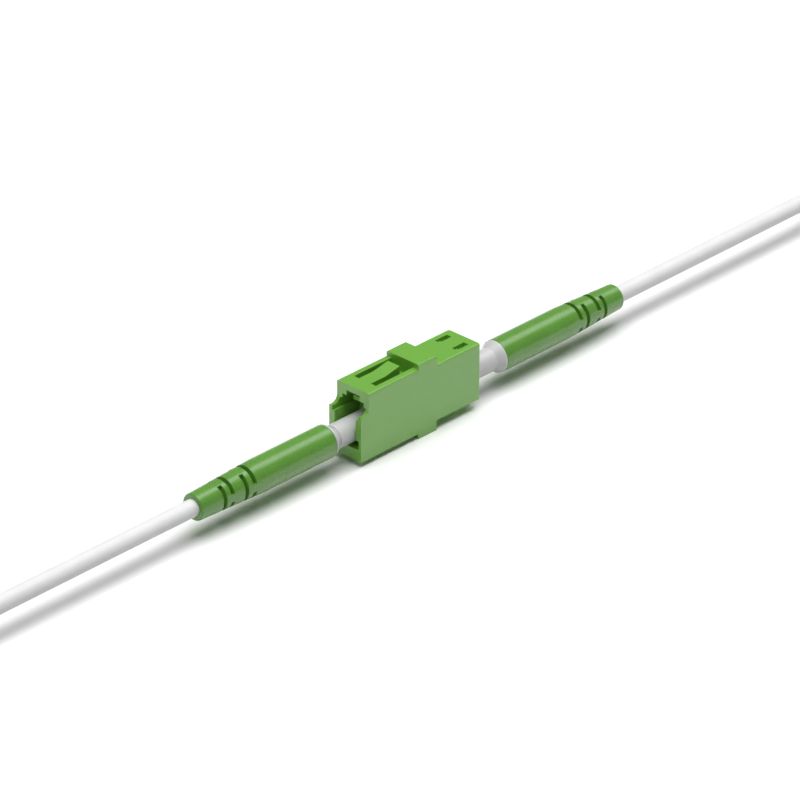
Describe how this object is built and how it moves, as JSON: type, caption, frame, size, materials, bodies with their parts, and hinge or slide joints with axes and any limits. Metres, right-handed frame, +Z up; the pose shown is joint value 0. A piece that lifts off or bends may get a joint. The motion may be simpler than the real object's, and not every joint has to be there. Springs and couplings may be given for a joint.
{
  "type": "fibre optic adapter",
  "caption": "Small in-line coupling for angled-contact fibre optic plugs, with a panel flange, a sprung panel tongue and a mated plug with boot and cord at each end.",
  "frame": {"origin": "under the flange's centre, on the surface that the flange rests on", "axes": "+X along the optical axis towards the rear half and its plug, +Y across, +Z up; the flange's underside and the cord ties lie at z = 0"},
  "size_m": [0.344, 0.028, 0.0191],
  "materials": {
    "housing": "satin",
    "tongue": "satin",
    "holder": "satin",
    "ceramic": "polished",
    "plug_green": "satin",
    "plug_white": "satin",
    "hub_metal": "nickel plated",
    "spring_steel": "bright",
    "crimp_metal": "satin",
    "boot": "satin",
    "fibre": "smooth",
    "cord": "matte",
    "tie": "woven",
    "cap": "smooth"
  },
  "bodies": {
    "base": {"front_housing": "housing", "rear_housing": "housing", "split_sleeve": "ceramic", "front_sleeve_holder": "holder", "front_plug_housing": "plug_green", "front_spring": "spring_steel", "front_rear_body": "plug_white", "front_buffered_fibre": "fibre", "front_crimp_sleeve": "crimp_metal", "front_boot": "boot", "front_far_plug_housing": "plug_green", "front_far_spring": "spring_steel", "front_far_rear_body": "plug_white", "front_far_buffered_fibre": "fibre", "front_far_crimp_sleeve": "crimp_metal", "front_far_boot": "boot", "front_cord_lead": "cord", "front_cord_hank": "cord", "front_cord_tail": "cord", "front_cord_tie": "tie", "rear_sleeve_holder": "holder", "rear_plug_housing": "plug_green", "rear_spring": "spring_steel", "rear_rear_body": "plug_white", "rear_buffered_fibre": "fibre", "rear_crimp_sleeve": "crimp_metal", "rear_boot": "boot", "rear_far_plug_housing": "plug_green", "rear_far_spring": "spring_steel", "rear_far_rear_body": "plug_white", "rear_far_buffered_fibre": "fibre", "rear_far_crimp_sleeve": "crimp_metal", "rear_far_boot": "boot", "rear_cord_lead": "cord", "rear_cord_hank": "cord", "rear_cord_tail": "cord", "rear_cord_tie": "tie"},
    "panel_tongue": {"panel_tongue": "tongue"},
    "front_latch": {"front_latch": "plug_green"},
    "front_ferrule_unit": {"front_ferrule": "ceramic", "front_ferrule_hub": "hub_metal"},
    "front_far_latch": {"front_far_latch": "plug_green"},
    "front_far_ferrule_unit": {"front_far_ferrule": "ceramic", "front_far_ferrule_hub": "hub_metal"},
    "front_far_dust_cap": {"front_far_dust_cap": "cap"},
    "rear_latch": {"rear_latch": "plug_green"},
    "rear_ferrule_unit": {"rear_ferrule": "ceramic", "rear_ferrule_hub": "hub_metal"},
    "rear_far_latch": {"rear_far_latch": "plug_green"},
    "rear_far_ferrule_unit": {"rear_far_ferrule": "ceramic", "rear_far_ferrule_hub": "hub_metal"},
    "rear_far_dust_cap": {"rear_far_dust_cap": "cap"}
  },
  "joints": [
    {"name": "panel_tongue_flex", "type": "hinge", "parent": "base", "child": "panel_tongue", "pos_m": [-0.0109, 0, 0.0118], "axis": [0, 1, 0], "range_deg": [0, 6], "stiffness_Nm_per_rad": 0.05},
    {"name": "front_latch_press", "type": "hinge", "parent": "base", "child": "front_latch", "pos_m": [-0.00405, 0, 0.0082], "axis": [0, -1, 0], "range_deg": [0, 10], "stiffness_Nm_per_rad": 0.05},
    {"name": "front_ferrule_slide", "type": "slide", "parent": "base", "child": "front_ferrule_unit", "axis": [-1, 0, 0], "range_m": [0, 0.0005], "stiffness_N_per_m": 1000, "springref_m": -0.001, "deforming": ["front_spring"]},
    {"name": "front_far_latch_press", "type": "hinge", "parent": "base", "child": "front_far_latch", "pos_m": [-0.1129, 0.0105, 0.01563], "axis": [0, -1, 0], "range_deg": [0, 10], "stiffness_Nm_per_rad": 0.05},
    {"name": "front_far_ferrule_slide", "type": "slide", "parent": "base", "child": "front_far_ferrule_unit", "axis": [-1, 0, 0], "range_m": [0, 0.0005], "stiffness_N_per_m": 1000, "springref_m": -0.001, "deforming": ["front_far_spring"]},
    {"name": "front_far_dust_cap_slide", "type": "slide", "parent": "base", "child": "front_far_dust_cap", "axis": [1, 0, 0], "range_m": [0, 0.006]},
    {"name": "rear_latch_press", "type": "hinge", "parent": "base", "child": "rear_latch", "pos_m": [0.00405, 0, 0.0082], "axis": [0, 1, 0], "range_deg": [0, 10], "stiffness_Nm_per_rad": 0.05},
    {"name": "rear_ferrule_slide", "type": "slide", "parent": "base", "child": "rear_ferrule_unit", "axis": [1, 0, 0], "range_m": [0, 0.0005], "stiffness_N_per_m": 1000, "springref_m": -0.001, "deforming": ["rear_spring"]},
    {"name": "rear_far_latch_press", "type": "hinge", "parent": "base", "child": "rear_far_latch", "pos_m": [0.1129, -0.0105, 0.01563], "axis": [0, 1, 0], "range_deg": [0, 10], "stiffness_Nm_per_rad": 0.05},
    {"name": "rear_far_ferrule_slide", "type": "slide", "parent": "base", "child": "rear_far_ferrule_unit", "axis": [1, 0, 0], "range_m": [0, 0.0005], "stiffness_N_per_m": 1000, "springref_m": -0.001, "deforming": ["rear_far_spring"]},
    {"name": "rear_far_dust_cap_slide", "type": "slide", "parent": "base", "child": "rear_far_dust_cap", "axis": [-1, 0, 0], "range_m": [0, 0.006]}
  ]
}
